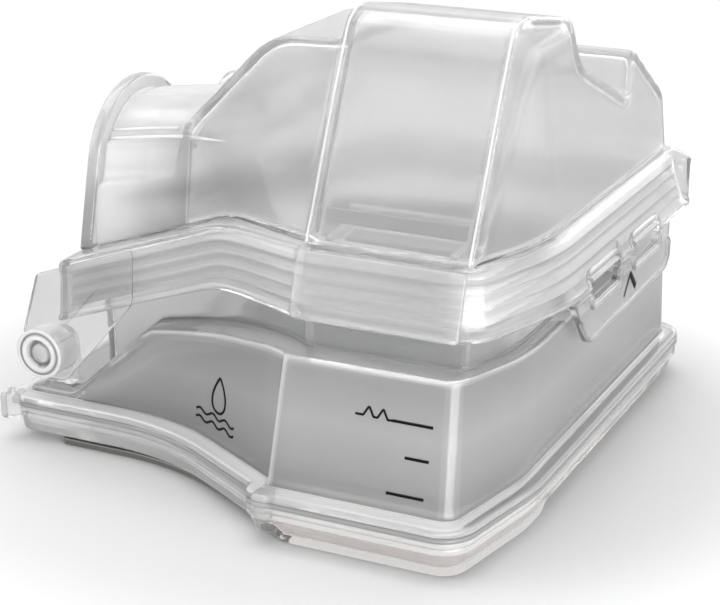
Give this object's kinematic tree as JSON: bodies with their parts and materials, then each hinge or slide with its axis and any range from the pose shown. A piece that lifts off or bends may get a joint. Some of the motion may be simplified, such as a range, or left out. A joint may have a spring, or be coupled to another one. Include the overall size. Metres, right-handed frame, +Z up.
{
  "type": "humidifier water tub",
  "caption": "Clear water tub of a bedside air humidifier: domed lid with grip and air ports, hinged at the left, springy latch plate at the right, metal heating plate below.",
  "frame": {"origin": "on the standing surface, under the middle of the tub, on the underside of the heating plate", "axes": "+X to the right along the front (the air ports are on the -X side, the latch on the +X side), +Y to the rear, +Z up"},
  "size_m": [0.1318, 0.1365, 0.1042],
  "materials": {
    "clear_shell": "clear, slightly smoky",
    "pan_plastic": "clear, faintly warm",
    "frosted_dome": "satin, translucent",
    "clear_trim": "clear, polished",
    "label_panel": "smooth, bare",
    "seal_silicone": "soft, translucent",
    "plate_metal": "satin"
  },
  "bodies": {
    "base": {"tub_shell": "clear_shell", "bottom_pan": "pan_plastic", "heater_plate": "plate_metal", "plate_gasket": "seal_silicone", "flange_lug_left": "clear_trim", "flange_lug_ridge": "clear_trim", "hinge_ear_front": "clear_shell", "hinge_ear_rear": "clear_shell", "catch_front": "clear_shell", "catch_rear": "clear_shell"},
    "lid": {"lid_dome": "frosted_dome", "port_deck_front": "frosted_dome", "port_deck_rear": "frosted_dome", "grip_cover": "frosted_dome", "label_panel": "label_panel", "rim_band": "clear_trim", "mid_seal": "seal_silicone", "hinge_cheek_front": "clear_trim", "hinge_cheek_rear": "clear_trim", "inlet_flange": "clear_trim", "inlet_roof": "clear_trim", "inlet_collar": "clear_trim", "outlet_flange": "clear_trim", "splash_baffle": "frosted_dome"},
    "latch": {"latch_plate": "clear_trim", "latch_bead": "clear_trim"}
  },
  "joints": [
    {"name": "lid_hinge", "type": "hinge", "parent": "base", "child": "lid", "pos_m": [-0.0548, 0, 0.0224], "axis": [0, -1, 0], "range_deg": [0, 100]},
    {"name": "latch_flex", "type": "hinge", "parent": "lid", "child": "latch", "pos_m": [0.0643, 0.01395, 0.0442], "axis": [0, -1, 0], "range_deg": [0, 10], "stiffness_Nm_per_rad": 0.3}
  ]
}
